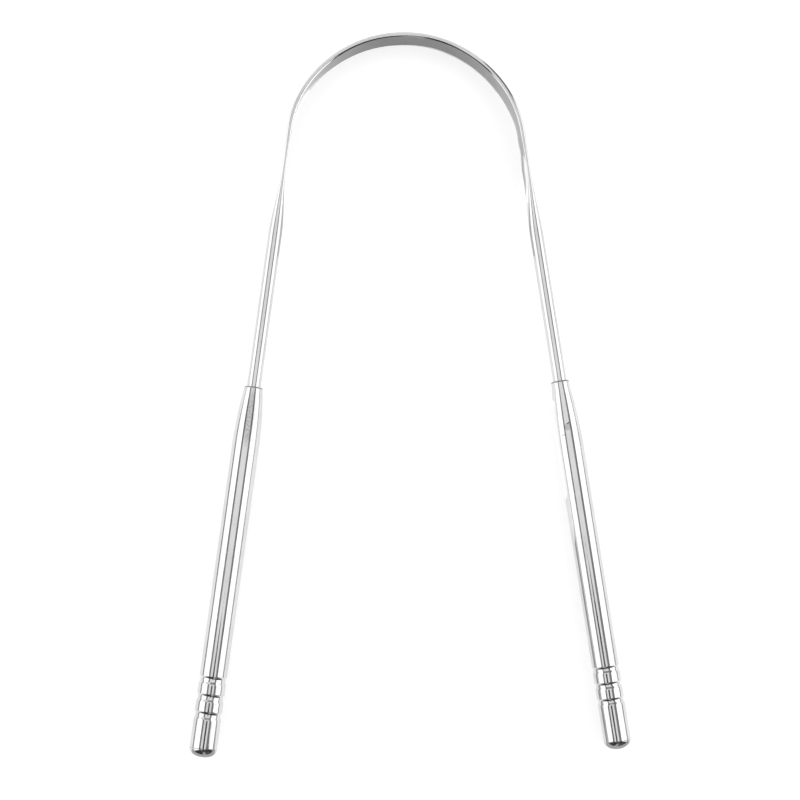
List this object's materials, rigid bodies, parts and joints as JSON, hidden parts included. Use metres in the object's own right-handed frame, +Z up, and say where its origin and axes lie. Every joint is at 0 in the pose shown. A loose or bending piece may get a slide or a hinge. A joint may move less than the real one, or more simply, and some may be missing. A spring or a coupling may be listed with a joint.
{
  "type": "tongue scraper",
  "caption": "U-shaped tongue scraper: a bow of flattened spring wire, open at one end, with a round tube handle with rolled grooves on each arm.",
  "frame": {"origin": "under the middle of the bounding box, on the surface that the scraper lies on", "axes": "+Y from the open end to the crown of the bow, +X to the right arm with the crown away from the viewer, +Z up; the bow lies in the XY plane and mirrors about X = 0 but for the lengths and grooves of the two tubes"},
  "size_m": [0.0968, 0.1608, 0.007],
  "materials": {
    "bow_steel": "polished stainless spring steel",
    "tube_steel": "mirror-polished stainless steel",
    "bush_steel": "plain turned stainless steel",
    "plug_steel": "polished stainless steel"
  },
  "bodies": {
    "crown": {"blade_crown": "bow_steel"},
    "left_side": {"left_arm": "bow_steel", "left_handle_tube": "tube_steel", "left_tang_bush": "bush_steel", "left_end_plug": "plug_steel"},
    "right_side": {"right_arm": "bow_steel", "right_handle_tube": "tube_steel", "right_tang_bush": "bush_steel", "right_end_plug": "plug_steel"}
  },
  "joints": [
    {"name": "left_flex", "type": "hinge", "parent": "crown", "child": "left_side", "pos_m": [-0.01909, 0.07198, 0.0035], "axis": [0, 0, 1], "range_deg": [-12, 12], "stiffness_Nm_per_rad": 3.1},
    {"name": "right_flex", "type": "hinge", "parent": "crown", "child": "right_side", "pos_m": [0.01909, 0.07198, 0.0035], "axis": [0, 0, -1], "range_deg": [-12, 12], "stiffness_Nm_per_rad": 3.1}
  ]
}
